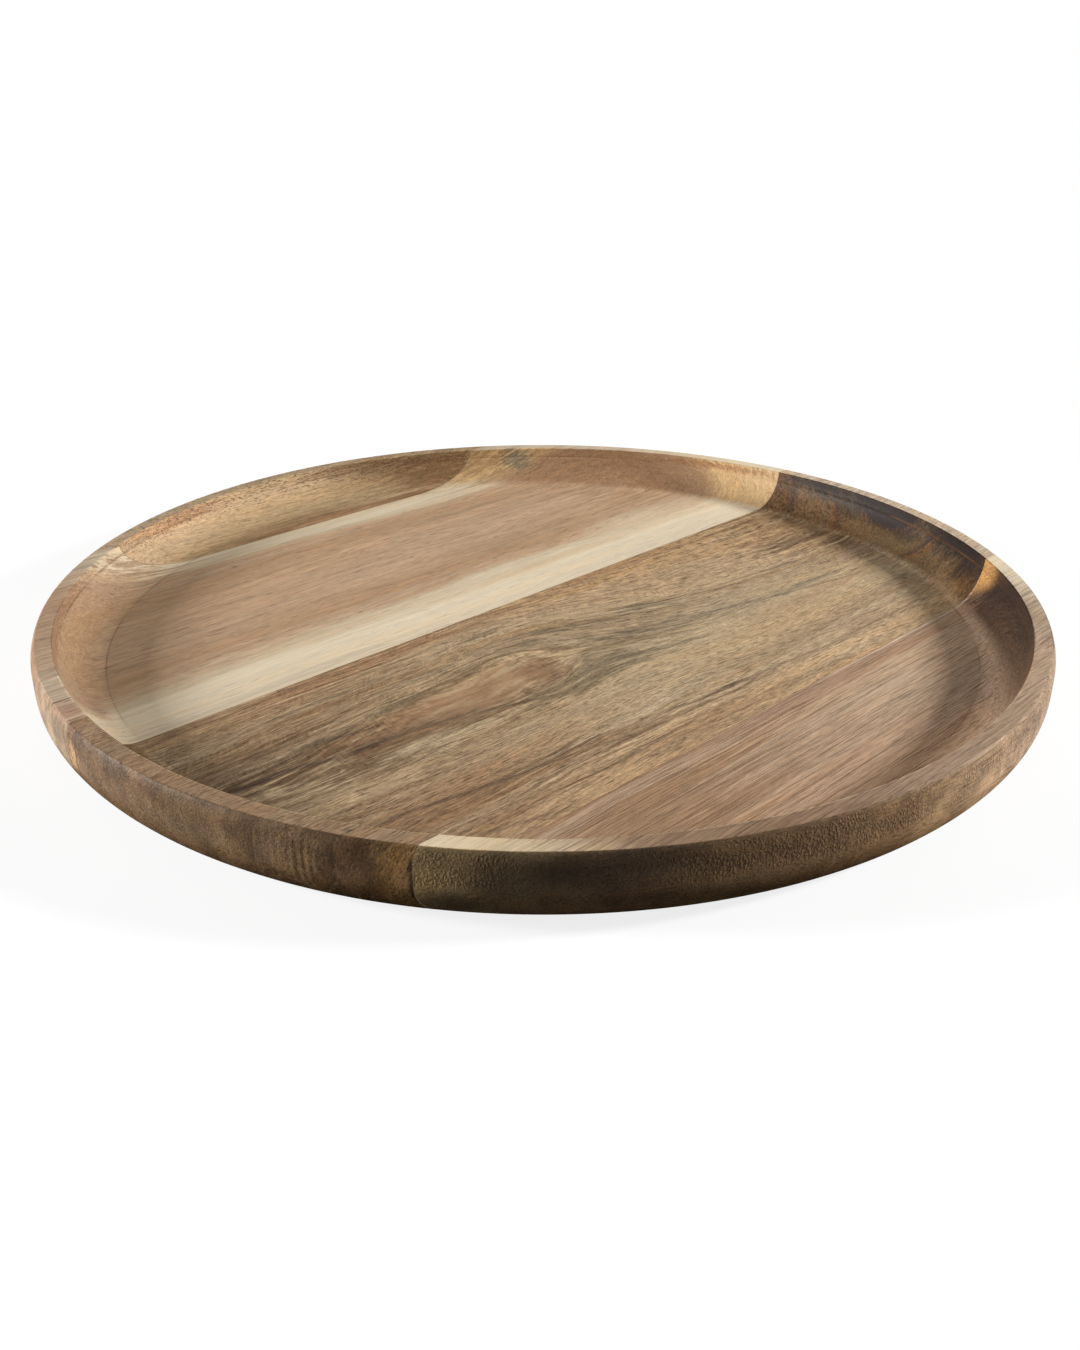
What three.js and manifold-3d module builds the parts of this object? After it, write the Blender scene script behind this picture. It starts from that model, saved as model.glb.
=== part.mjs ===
// Round wooden serving tray, turned from a blank of edge-glued staves.
// Millimetres, +Z up. The origin is the centre of the underside, and the staves run along X.
import * as THREE from "three";
import { mergeVertices } from "three/addons/utils/BufferGeometryUtils.js";
import Module from "manifold-3d";

// Turned form
const OUTER_DIAMETER = 400; // across the straight of the outer wall, where the tray is widest
const HEIGHT = 27.5; // underside to rim
const FLOOR_THICKNESS = 11.25; // board left under the recess
const RIM_LAND = 6.2; // flat top of the rim
const RIM_LEAN_WIDTH = 1.8; // the outer wall curves in by this much up to the rim
const RIM_LEAN_DROP = 6; // and starts to do so this far below it
const LIP_EASE = 0.5; // small bevel on the rim's inner corner
const COVE_RADIUS = 17; // hollow that carries the inner wall down into the floor
const FOOT_RADIUS = 15; // round-over between the outer wall and the underside

// Staves, counted from the back edge to the front edge. The centre stave takes the width that is left.
const BACK_EDGE_STAVE_WIDTH = 38.8;
const SAPWOOD_STAVE_WIDTH = 140.2;
const FRONT_EDGE_STAVE_WIDTH = 85.3;
const GLUE_LINE = 0.15; // cured glue between two planed edges

// Facets
const TURN_STEPS = 120; // around the tray
const COVE_STEPS = 8;
const FOOT_STEPS = 6;
const LEAN_STEPS = 3;

// Finishes, from the oiled wood
const WOOD_ROUGHNESS = 0.55;
const GLUE_ROUGHNESS = 0.4;
const GOLDEN_BROWN = 0xa9865f;
const ROSE_AND_CREAM = 0xc3a182;
const STREAKED_BROWN = 0x93734f;
const PINKISH_BROWN = 0xa88468;
const AMBER_GLUE = 0x6b4a2c;

const OUTER_RADIUS = OUTER_DIAMETER / 2;
const LAND_OUTER_RADIUS = OUTER_RADIUS - RIM_LEAN_WIDTH;
const LAND_INNER_RADIUS = LAND_OUTER_RADIUS - RIM_LAND;
const WALL_RADIUS = LAND_INNER_RADIUS - LIP_EASE; // inner wall just under the lip
const UNDERSIDE_RADIUS = OUTER_RADIUS - FOOT_RADIUS;

const wasm = await Module();
wasm.setup();

// A closed geometry as a solid that can be cut.
function toSolid(geometry) {
  const bare = geometry.clone();
  bare.deleteAttribute("normal");
  bare.deleteAttribute("uv");
  const merged = mergeVertices(bare);
  const mesh = new wasm.Mesh({
    numProp: 3,
    vertProperties: merged.getAttribute("position").array,
    triVerts: new Uint32Array(merged.index.array),
  });
  return new wasm.Manifold(mesh);
}

// A solid as a geometry with flat faces.
function toGeometry(solid) {
  const { vertProperties, triVerts } = solid.getMesh();
  const geometry = new THREE.BufferGeometry();
  geometry.setAttribute("position", new THREE.BufferAttribute(vertProperties, 3));
  geometry.setIndex(new THREE.BufferAttribute(triVerts, 1));
  const flat = geometry.toNonIndexed();
  flat.computeVertexNormals();
  return flat;
}

// Points along an arc from one angle to another, both ends included.
function arcPoints(centre, radius, from, to, steps) {
  const clockwise = to < from;
  const arc = new THREE.EllipseCurve(centre.x, centre.y, radius, radius, from, to, clockwise);
  return arc.getPoints(steps);
}

// Rounds the outer wall under into the underside.
function footPoints() {
  const centre = new THREE.Vector2(UNDERSIDE_RADIUS, FOOT_RADIUS);
  return arcPoints(centre, FOOT_RADIUS, -Math.PI / 2, 0, FOOT_STEPS);
}

// Leaves the wall upright and meets the land at a slant, so that the rim's outer corner stays crisp.
function leanPoints() {
  const radius = (RIM_LEAN_WIDTH ** 2 + RIM_LEAN_DROP ** 2) / (2 * RIM_LEAN_WIDTH);
  const centre = new THREE.Vector2(OUTER_RADIUS - radius, HEIGHT - RIM_LEAN_DROP);
  const top = Math.atan2(RIM_LEAN_DROP, radius - RIM_LEAN_WIDTH);
  return arcPoints(centre, radius, 0, top, LEAN_STEPS);
}

// Comes down from the lip and runs out level on the floor. A deep recess also gets a straight wall.
function covePoints() {
  const lip = new THREE.Vector2(WALL_RADIUS, HEIGHT - LIP_EASE);
  const centreHeight = FLOOR_THICKNESS + COVE_RADIUS;
  const top = Math.asin(Math.min(0, lip.y - centreHeight) / COVE_RADIUS);
  const centre = new THREE.Vector2(WALL_RADIUS - COVE_RADIUS * Math.cos(top), centreHeight);
  const cove = arcPoints(centre, COVE_RADIUS, top, -Math.PI / 2, COVE_STEPS);
  return lip.y > centreHeight ? [lip, ...cove] : cove;
}

// Half section with radius across and height up, from the underside's centre to the floor's centre.
function turnedProfile() {
  return [
    new THREE.Vector2(0, 0),
    ...footPoints(),
    ...leanPoints(),
    new THREE.Vector2(LAND_INNER_RADIUS, HEIGHT),
    ...covePoints(),
    new THREE.Vector2(0, FLOOR_THICKNESS),
  ];
}

// The whole tray as it comes off the lathe, before it is told apart into staves.
function turnedTray() {
  const lathe = new THREE.LatheGeometry(turnedProfile(), TURN_STEPS);
  lathe.rotateX(Math.PI / 2);
  return toSolid(lathe);
}

// What lies between two planes across the tray, front and back.
function slab(front, back) {
  const margin = OUTER_DIAMETER;
  const box = new THREE.BoxGeometry(OUTER_DIAMETER + margin, back - front, HEIGHT + margin);
  box.translate(0, (front + back) / 2, HEIGHT / 2);
  return toSolid(box);
}

function piece(name, solid, color, roughness) {
  const material = new THREE.MeshStandardMaterial({ color, roughness, metalness: 0 });
  const mesh = new THREE.Mesh(toGeometry(solid), material);
  mesh.name = name;
  return mesh;
}

// Seams, as distances from the centre towards the back.
const backSeam = OUTER_RADIUS - BACK_EDGE_STAVE_WIDTH;
const middleSeam = backSeam - SAPWOOD_STAVE_WIDTH;
const frontSeam = FRONT_EDGE_STAVE_WIDTH - OUTER_RADIUS;
const beyond = OUTER_DIAMETER; // outside the tray on either side

const staves = [
  { name: "back_edge_stave", front: backSeam, back: beyond, color: GOLDEN_BROWN },
  { name: "sapwood_stave", front: middleSeam, back: backSeam, color: ROSE_AND_CREAM },
  { name: "centre_stave", front: frontSeam, back: middleSeam, color: STREAKED_BROWN },
  { name: "front_edge_stave", front: -beyond, back: frontSeam, color: PINKISH_BROWN },
];
const glueLines = [
  { name: "back_glue_line", seam: backSeam },
  { name: "middle_glue_line", seam: middleSeam },
  { name: "front_glue_line", seam: frontSeam },
];

const tray = new THREE.Group();
tray.name = "serving_tray";
const turned = turnedTray();
const halfGlue = GLUE_LINE / 2;

for (const { name, front, back, color } of staves) {
  const stave = turned.intersect(slab(front + halfGlue, back - halfGlue));
  tray.add(piece(name, stave, color, WOOD_ROUGHNESS));
}
for (const { name, seam } of glueLines) {
  const film = turned.intersect(slab(seam - halfGlue, seam + halfGlue));
  tray.add(piece(name, film, AMBER_GLUE, GLUE_ROUGHNESS));
}

export default tray;
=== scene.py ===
import math
from dataclasses import dataclass
from functools import partial, reduce

import bmesh
import bpy
from mathutils import Color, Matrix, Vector


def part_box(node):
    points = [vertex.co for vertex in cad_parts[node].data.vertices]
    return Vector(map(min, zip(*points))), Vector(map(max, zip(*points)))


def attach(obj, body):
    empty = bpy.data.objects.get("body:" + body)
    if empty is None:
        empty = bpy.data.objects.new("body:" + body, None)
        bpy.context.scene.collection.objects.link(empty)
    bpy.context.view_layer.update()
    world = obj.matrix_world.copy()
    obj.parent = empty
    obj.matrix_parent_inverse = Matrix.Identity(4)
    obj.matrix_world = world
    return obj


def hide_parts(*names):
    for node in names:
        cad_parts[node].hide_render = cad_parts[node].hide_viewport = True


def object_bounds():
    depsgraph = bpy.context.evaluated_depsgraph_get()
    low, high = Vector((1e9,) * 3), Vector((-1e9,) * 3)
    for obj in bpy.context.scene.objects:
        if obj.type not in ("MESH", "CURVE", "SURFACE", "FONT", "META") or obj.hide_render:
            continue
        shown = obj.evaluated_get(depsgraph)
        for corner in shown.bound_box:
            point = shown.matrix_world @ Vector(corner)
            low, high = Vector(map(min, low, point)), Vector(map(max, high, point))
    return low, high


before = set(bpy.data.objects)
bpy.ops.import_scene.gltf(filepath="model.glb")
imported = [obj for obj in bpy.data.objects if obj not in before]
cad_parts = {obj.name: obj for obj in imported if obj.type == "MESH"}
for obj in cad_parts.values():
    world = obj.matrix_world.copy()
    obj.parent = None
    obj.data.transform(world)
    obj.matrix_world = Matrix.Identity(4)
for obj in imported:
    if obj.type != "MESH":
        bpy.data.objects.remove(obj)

# A round tray turned from edge-glued acacia staves. Shapes are in metres, wood figure is in millimetres.
MM = 0.001

cad_low, cad_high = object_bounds()

# Turned form, as the solids have it
OUTER_RADIUS = cad_high[0]
HEIGHT = cad_high[2]
FLOOR_THICKNESS = 11.25 * MM
RIM_LAND = 6.2 * MM  # flat top of the rim
RIM_LEAN_WIDTH = 1.8 * MM  # the outer wall curves in by this much up to the rim
RIM_LEAN_DROP = 6 * MM  # and starts to do so this far below it
COVE_RADIUS = 17 * MM  # hollow that carries the inner wall down into the floor
FOOT_RADIUS = 15 * MM  # round-over between the outer wall and the underside

# Fine work on the turned form
RIM_ARRIS = 0.25 * MM  # the rim's outer corner, taken off with fine paper
LIP_ROUND = 0.5 * MM  # the rim's inner corner
LIP_LINE_DROP = 4.2 * MM  # tool line round the inner wall, below the rim
TOOL_LINE_WIDTH = 0.45 * MM
TOOL_LINE_DEPTH = 0.1 * MM
FLAT_HOLD = 0.1 * MM  # a flat part has an edge this close to each end

# Steps of the round parts
TURN_STEPS = 320  # round the tray
FOOT_STEPS = 14
LEAN_STEPS = 6
LIP_STEPS = 4
UPPER_COVE_STEPS = 4  # above the tool line
COVE_STEPS = 18
SHARP_ANGLE = math.radians(40)  # a sharper bend than this shows an edge
WELD = 0.001 * MM  # points closer than this are one

# Radii and heights that follow
LAND_OUTER_RADIUS = OUTER_RADIUS - RIM_LEAN_WIDTH
LAND_INNER_RADIUS = LAND_OUTER_RADIUS - RIM_LAND
WALL_RADIUS = LAND_INNER_RADIUS - LIP_ROUND
UNDERSIDE_RADIUS = OUTER_RADIUS - FOOT_RADIUS
LIP_HEIGHT = HEIGHT - LIP_ROUND
LINE_HEIGHT = HEIGHT - LIP_LINE_DROP
COVE_CENTRE_HEIGHT = FLOOR_THICKNESS + COVE_RADIUS
COVE_TOP = math.asin((LIP_HEIGHT - COVE_CENTRE_HEIGHT) / COVE_RADIUS)
FLOOR_RADIUS = WALL_RADIUS - COVE_RADIUS * math.cos(COVE_TOP)

# Camera, placed from the rim's centre
LENS = 35.08
SENSOR_WIDTH = 36
CAMERA_DISTANCE = 0.5427
CAMERA_DIRECTION = -134.51  # degrees from +X towards +Y
CAMERA_ELEVATION = 22.06
AIM_BELOW_RIM = 38.65 * MM  # down the picture from the rim's centre
AIM_LEFT = 1.12 * MM

# Floor and light
WHITE = (1, 1, 1, 1)
FLOOR_GREY = (0.2, 0.2, 0.2, 1)
FLOOR_GLOW = 0.82  # lifts the grey floor to white outside the shadow
FLOOR_HALF = 20  # metres from the middle to an edge
FLOOR_DROP = 0.05 * MM  # the floor lies this far under the tray
SHADOW_SPAN = (0.24, 0.5)  # the shadow runs out between these distances from the middle
UNDER_SPAN = (UNDERSIDE_RADIUS + 4 * MM, UNDERSIDE_RADIUS - 2 * MM)  # edge of the light under the tray
WORLD_LIGHT = 0.04  # what the world adds to the lamps


# Placing objects

def placed(name, data):
    """A new object in the scene."""
    thing = bpy.data.objects.new(name, data)
    bpy.context.scene.collection.objects.link(thing)
    return thing


def placed_mesh(name, bm):
    """A new object with the shape of a bmesh, which is used up."""
    mesh = bpy.data.meshes.new(name)
    bm.to_mesh(mesh)
    bm.free()
    return placed(name, mesh)


# Turning the staves

def straight(bm, tip, radius, height):
    """Draws the section on to a point and returns the new tip."""
    tip = bmesh.ops.extrude_vert_indiv(bm, verts=[tip])["verts"][0]
    tip.co = (radius, 0, height)
    return tip


def curved(bm, tip, centre_radius, centre_height, turn, steps):
    """Draws the section on round a centre and returns the new tip. A positive turn goes from up to out."""
    made = bmesh.ops.spin(
        bm, geom=[tip], cent=(centre_radius, 0, centre_height), axis=(0, 1, 0), angle=turn, steps=steps
    )
    return next(g for g in made["geom_last"] if isinstance(g, bmesh.types.BMVert))


def flat(bm, tip, radius, height):
    """Draws a flat part, held close to both ends so that it shades flat."""
    start = tip.co.copy()
    end = Vector((radius, 0, height))
    hold = (end - start).normalized() * FLAT_HOLD
    for point in (start + hold, end - hold, end):
        tip = straight(bm, tip, point.x, point.z)
    return tip


def tool_line(bm, tip, along, into):
    """Draws a fine V in the section and returns the new tip. Directions are of radius and height."""
    start = Vector((tip.co.x, tip.co.z))
    bottom = start + along * (TOOL_LINE_WIDTH / 2) + into * TOOL_LINE_DEPTH
    end = start + along * TOOL_LINE_WIDTH
    tip = straight(bm, tip, *bottom)
    return straight(bm, tip, *end)


def outer_section(bm, tip):
    """Foot, outer wall and land, from the underside's edge to the lip."""
    tip = curved(bm, tip, UNDERSIDE_RADIUS, FOOT_RADIUS, -math.pi / 2, FOOT_STEPS)
    tip = flat(bm, tip, OUTER_RADIUS, HEIGHT - RIM_LEAN_DROP)
    lean_radius = (RIM_LEAN_WIDTH**2 + RIM_LEAN_DROP**2) / (2 * RIM_LEAN_WIDTH)
    lean_turn = math.asin((RIM_LEAN_DROP - RIM_ARRIS) / lean_radius)
    tip = curved(bm, tip, OUTER_RADIUS - lean_radius, HEIGHT - RIM_LEAN_DROP, -lean_turn, LEAN_STEPS)
    tip = straight(bm, tip, LAND_OUTER_RADIUS - RIM_ARRIS, HEIGHT)
    return flat(bm, tip, LAND_INNER_RADIUS, HEIGHT)


def inner_section(bm, tip):
    """Lip and cove, with the tool line between them, from the land to the floor."""
    tip = curved(bm, tip, LAND_INNER_RADIUS, LIP_HEIGHT, -math.pi / 2, LIP_STEPS)
    line_angle = math.asin((LINE_HEIGHT - COVE_CENTRE_HEIGHT) / COVE_RADIUS)
    tip = curved(bm, tip, FLOOR_RADIUS, COVE_CENTRE_HEIGHT, COVE_TOP - line_angle, UPPER_COVE_STEPS)
    down = Vector((math.sin(line_angle), -math.cos(line_angle)))
    outward = Vector((math.cos(line_angle), math.sin(line_angle)))
    tip = tool_line(bm, tip, down, outward)
    line_end = line_angle - TOOL_LINE_WIDTH / COVE_RADIUS
    return curved(bm, tip, FLOOR_RADIUS, COVE_CENTRE_HEIGHT, line_end + math.pi / 2, COVE_STEPS)


def turn_tray():
    """The whole tray off the lathe, as a bmesh. Its half section runs from underside to floor."""
    bm = bmesh.new()
    tip = bm.verts.new((0, 0, 0))
    tip = flat(bm, tip, UNDERSIDE_RADIUS, 0)
    tip = outer_section(bm, tip)
    tip = inner_section(bm, tip)
    flat(bm, tip, 0, tip.co.z)
    bmesh.ops.spin(
        bm, geom=bm.verts[:] + bm.edges[:], cent=(0, 0, 0), axis=(0, 0, 1),
        angle=math.tau, steps=TURN_STEPS, use_merge=True,
    )
    bmesh.ops.remove_doubles(bm, verts=bm.verts[:], dist=WELD)
    bmesh.ops.recalc_face_normals(bm, faces=bm.faces[:])
    return bm


def cut_across(bm, place, keep_back):
    """Saws along the staves at one distance from the centre, and closes the sawn face."""
    bmesh.ops.bisect_plane(
        bm, geom=bm.verts[:] + bm.edges[:] + bm.faces[:], dist=WELD,
        plane_co=(0, place, 0), plane_no=(0, 1, 0), clear_inner=keep_back, clear_outer=not keep_back,
    )
    bmesh.ops.holes_fill(bm, edges=[e for e in bm.edges if e.is_boundary], sides=0)


def turned_piece(node, tray):
    """The finely turned piece that stands for one solid, sawn out of the whole tray."""
    low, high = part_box(node)
    bm = tray.copy()
    if low.y > cad_low[1] + WELD:
        cut_across(bm, low.y, keep_back=True)
    if high.y < cad_high[1] - WELD:
        cut_across(bm, high.y, keep_back=False)
    for face in bm.faces:
        face.smooth = True
    for edge in bm.edges:
        edge.smooth = edge.calc_face_angle(0) < SHARP_ANGLE
    piece = placed_mesh("turned_" + node, bm)
    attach(piece, "root")
    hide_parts(node)
    return piece


# Laying out nodes. A span is where an effect comes in or changes, and the values at its ends may follow.

FULL_SPAN = (0.0, 1.0)
NOISE_SPAN = (0.25, 0.75)  # most of a noise's values lie in here
STEEP_SPAN = (0.3, 0.7)  # the same, with more contrast
STEEPEST_SPAN = (0.35, 0.65)


def tone(code):
    """A colour from its six-digit code, as the renderer wants it."""
    shares = [part / 255 for part in bytes.fromhex(code)]
    return (*Color(shares).from_srgb_to_scene_linear(), 1.0)


class Nodes:
    """Places nodes in one tree and joins them. Any input may be a value or another node's output."""

    def __init__(self, tree):
        self.tree = tree

    def put(self, socket, value):
        if isinstance(value, bpy.types.NodeSocket):
            self.tree.links.new(value, socket)
        else:
            socket.default_value = value

    def feed(self, node, inputs):
        for name, value in inputs.items():
            self.put(node.inputs[name], value)

    def add(self, kind, inputs=None, **settings):
        node = self.tree.nodes.new(kind)
        for name, value in settings.items():
            setattr(node, name, value)
        self.feed(node, inputs or {})
        return node

    def use(self, group, **inputs):
        """Places a shared group and gives back its results."""
        return self.add("ShaderNodeGroup", inputs, node_tree=group).outputs

    def math(self, operation, first, second=0.0):
        return self.add("ShaderNodeMath", {0: first, 1: second}, operation=operation).outputs[0]

    def plus(self, *values):
        return reduce(partial(self.math, "ADD"), values)

    def minus(self, first, second):
        return self.math("SUBTRACT", first, second)

    def times(self, *values):
        return reduce(partial(self.math, "MULTIPLY"), values)

    def most(self, *values):
        return reduce(partial(self.math, "MAXIMUM"), values)

    def vector(self, operation, first, second):
        return self.add("ShaderNodeVectorMath", {0: first, 1: second}, operation=operation).outputs["Vector"]

    def scaled(self, vector, factor):
        inputs = {0: vector, "Scale": factor}
        return self.add("ShaderNodeVectorMath", inputs, operation="SCALE").outputs["Vector"]

    def length(self, vector):
        return self.add("ShaderNodeVectorMath", {0: vector}, operation="LENGTH").outputs["Value"]

    def split(self, vector):
        return self.add("ShaderNodeSeparateXYZ", {0: vector}).outputs

    def join(self, x, y, z):
        return self.add("ShaderNodeCombineXYZ", {0: x, 1: y, 2: z}).outputs[0]

    def between(self, value, span, low=0.0, high=1.0, smooth=True):
        """Eases from low to high while a value goes through a span."""
        node = self.add(
            "ShaderNodeMapRange",
            {"Value": value, "From Min": span[0], "From Max": span[1], "To Min": low, "To Max": high},
            interpolation_type="SMOOTHSTEP" if smooth else "LINEAR",
        )
        return node.outputs["Result"]

    def swing(self, noise, depth, span=NOISE_SPAN):
        """Carries a noise to either side of zero, as far as the depth."""
        return self.between(noise, span, -depth, depth, smooth=False)

    def noise(self, vector, size, detail=2, roughness=0.5):
        """Noise whose grain has the given size in millimetres along each axis."""
        sized = self.vector("DIVIDE", vector, size)
        inputs = {"Vector": sized, "Scale": 1.0, "Detail": detail, "Roughness": roughness}
        return self.add("ShaderNodeTexNoise", inputs).outputs

    def patchy(self, vector, size, detail, span, low=0.0, high=1.0):
        """Goes from low to high in patches of the given size."""
        return self.between(self.noise(vector, size, detail)["Fac"], span, low, high)

    def mix(self, factor, first, second, kind="MIX"):
        node = self.add("ShaderNodeMix", data_type="RGBA", blend_type=kind)
        for place, value in zip(("Factor", "A", "B"), (factor, first, second)):
            self.put(next(s for s in node.inputs if s.name == place and s.enabled), value)
        return next(s for s in node.outputs if s.enabled)

    def dimmed(self, colour, share):
        return self.mix(1.0, colour, self.join(share, share, share), "MULTIPLY")

    def blend(self, factor, first, second):
        return self.add("ShaderNodeMixShader", {0: factor, 1: first, 2: second}).outputs[0]


def new_group(name, vectors, numbers=()):
    """The layout of an empty node group with named inputs, and those inputs."""
    tree = bpy.data.node_groups.new(name, "ShaderNodeTree")
    for kind, labels in (("Vector", vectors), ("Float", numbers)):
        for label in labels:
            tree.interface.new_socket(label, in_out="INPUT", socket_type="NodeSocket" + kind)
    nodes = Nodes(tree)
    return nodes, nodes.add("NodeGroupInput").outputs


def finish_group(nodes, kind="Float", **results):
    """Puts results out under their names and gives back the group."""
    for name in results:
        nodes.tree.interface.new_socket(name, in_out="OUTPUT", socket_type="NodeSocket" + kind)
    nodes.add("NodeGroupOutput", results)
    return nodes.tree


def new_material(name):
    material = bpy.data.materials.new(name)
    material.use_nodes = True
    return material, material.node_tree.nodes["Principled BSDF"]


# How a stave lies in its log

LOG_BENDS = [((120, 40, 40), 3, 1.0), ((42, 14, 14), 2, 0.25)]  # size, detail and share of the wander
MID_GREY = (0.5, 0.5, 0.5)
ROUND_PITH = 60  # millimetres for each radian round the pith


def log_group():
    """Where a point lies in its log: along the grain, out from the pith and round it, in millimetres."""
    nodes, entry = new_group("log_position", ["Position", "Pith", "Seed"], ["Wander"])
    place = nodes.vector("SUBTRACT", entry["Position"], entry["Pith"])
    seeded = nodes.vector("ADD", entry["Position"], entry["Seed"])
    for size, detail, share in LOG_BENDS:
        bend = nodes.vector("SUBTRACT", nodes.noise(seeded, size, detail)["Color"], MID_GREY)
        place = nodes.vector("ADD", place, nodes.scaled(bend, nodes.times(entry["Wander"], share)))
    along, out, rise = nodes.split(place)
    radius = nodes.length(nodes.join(0.0, out, rise))
    turn = nodes.times(nodes.math("ARCTAN2", rise, out), ROUND_PITH)
    return finish_group(nodes, "Vector", Log=nodes.join(along, radius, turn))


# Grain, from coarse to fine: size along, out and round, detail and roughness
GRAIN = {
    "Band": ((220, 6, 40), 3, 0.5),
    "Strand": ((120, 1.6, 8), 3, 0.6),
    "Streak": ((60, 1, 2.4), 3, 0.6),
    "Fibre": ((13, 0.6, 0.9), 2, 0.6),
    "Fleck": ((3, 0.6, 0.9), 1, 0.5),
}
CURL_SLANT = 1.5  # curly grain runs this far along for each step across
CURL_SIZE = (1.5, 7, 7)
CURL_PATCHES = ((34, 9, 12), 2, (0.47, 0.62))  # size, detail and span


def fibre_group():
    """Bands of years, strands, streaks, single fibres, short flecks, and patches of curly grain."""
    nodes, entry = new_group("fibre", ["Log", "Seed"])
    log = nodes.vector("ADD", entry["Log"], entry["Seed"])
    grain = {name: nodes.noise(log, *look)["Fac"] for name, look in GRAIN.items()}
    along, out, turn = nodes.split(log)
    slanted = nodes.minus(along, nodes.times(out, CURL_SLANT))
    ripple = nodes.noise(nodes.join(slanted, out, turn), CURL_SIZE)["Fac"]
    curl = nodes.times(nodes.swing(ripple, 1.0, STEEP_SPAN), nodes.patchy(log, *CURL_PATCHES))
    return finish_group(nodes, **grain, Curl=curl)


PORE_EDGE = 0.78  # a noise above this is a pore, where the share is 0
PORE_EDGE_FALL = 0.22  # and this much lower where it is 1
PORE_SPAN = (0.0, 0.1)


def pore_group():
    """Open pores: vessels along the grain, seen as dashes on the flat and as dots on end grain."""
    nodes, entry = new_group("pores", ["Position", "Seed"], ["Share", "Length", "Width"])
    seeded = nodes.vector("ADD", entry["Position"], entry["Seed"])
    size = nodes.join(entry["Length"], entry["Width"], entry["Width"])
    vessel = nodes.noise(seeded, size, detail=1, roughness=0.4)["Fac"]
    edge = nodes.minus(PORE_EDGE, nodes.times(entry["Share"], PORE_EDGE_FALL))
    return finish_group(nodes, Pore=nodes.between(nodes.minus(vessel, edge), PORE_SPAN))


PATCH_SPAN = (1.4, 0.3)  # a soft patch comes in between these shares of its reach


def patch_group():
    """A soft patch round a point. The edge is torn by the value given."""
    nodes, entry = new_group("patch", ["Position", "Centre", "Reach"], ["Tear"])
    off = nodes.vector("SUBTRACT", entry["Position"], entry["Centre"])
    distance = nodes.plus(nodes.length(nodes.vector("DIVIDE", off, entry["Reach"])), entry["Tear"])
    return finish_group(nodes, Mask=nodes.between(distance, PATCH_SPAN))


# What the turning left, in millimetres

INSIDE_SPAN = (-0.1, -0.3)  # from the land's inner edge
LAND_INNER_SPAN = (0.0, 0.4)
LAND_OUTER_SPAN = (0.05, -0.2)  # from the land's outer edge
BEYOND_LAND_SPAN = (-0.15, 0.1)
LAND_HEIGHT_SPAN = (-0.6, -0.2)  # from the rim
FOOT_HEIGHT_SPAN = (11, 10.4)  # the foot belongs to the outside too
FOOT_RADIUS_SPAN = (183, 186)

LIP_LINE_SPAN = (0.7, 0.1)  # tool lines come in this close to their middle
FLOOR_LINE_SPAN = (0.5, 0.1)
WEAR = ((35, 35, 35), 3, (0.38, 0.65))  # and are worn away in patches

TORN_LIP_SPAN = (-0.5, 0.8)  # grain is torn above the tool line under the lip
TORN_LIP = 0.5
TORN_HEIGHTS = ((13.5, 17.5), (27.2, 25.4))  # and on the upright of the outer wall
TORN_RIGHT_SPAN = (70, 20)  # along the staves, from right to left
TORN_LEFT = ((-125, -95), 0.3, 1.0)
TORN_SEAM = ((-140, -152), 0.0, 0.75)  # and again beside the front seam
TORN_PATCHES = ((16, 16, 7), 3, (0.36, 0.6), 0.25)
PIT_BEND_SIZE = (2.5, 2.5, 2.5)
PIT_BEND = 2
PIT_SIZE = (0.85, 0.85, 1.3)
PIT_SPAN = (0.15, 0.75)


def worn_lines(nodes, position, radius, from_line, inside):
    """The tool lines under the lip and round the floor."""
    lip_line = nodes.times(nodes.between(nodes.math("ABSOLUTE", from_line), LIP_LINE_SPAN), inside)
    from_cove = nodes.math("ABSOLUTE", nodes.minus(radius, FLOOR_RADIUS / MM))
    above = nodes.math("GREATER_THAN", nodes.split(position)[2], FLOOR_THICKNESS / MM / 2)
    floor_line = nodes.times(nodes.between(from_cove, FLOOR_LINE_SPAN), above)
    return nodes.times(nodes.most(lip_line, floor_line), nodes.patchy(position, *WEAR))


def torn_grain(nodes, position, from_line, inside, beyond_land):
    """Where the tool ran against the fibres, in patches."""
    along, _, up = nodes.split(position)
    torn_lip = nodes.times(inside, nodes.between(from_line, TORN_LIP_SPAN), TORN_LIP)
    upright = nodes.times(*(nodes.between(up, span) for span in TORN_HEIGHTS))
    leeward = nodes.times(nodes.between(along, TORN_RIGHT_SPAN), nodes.between(along, *TORN_LEFT))
    leeward = nodes.most(leeward, nodes.between(along, *TORN_SEAM))
    torn_outside = nodes.times(beyond_land, upright, leeward)
    return nodes.times(nodes.plus(torn_lip, torn_outside), nodes.patchy(position, *TORN_PATCHES))


def pebbled(nodes, position):
    """Small rounded pits, close together."""
    bend = nodes.noise(position, PIT_BEND_SIZE)["Color"]
    moved = nodes.vector("ADD", position, nodes.scaled(bend, PIT_BEND))
    sized = nodes.vector("DIVIDE", moved, PIT_SIZE)
    cells = nodes.add("ShaderNodeTexVoronoi", {"Vector": sized, "Scale": 1.0})
    return nodes.between(cells.outputs["Distance"], PIT_SPAN)


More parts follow.
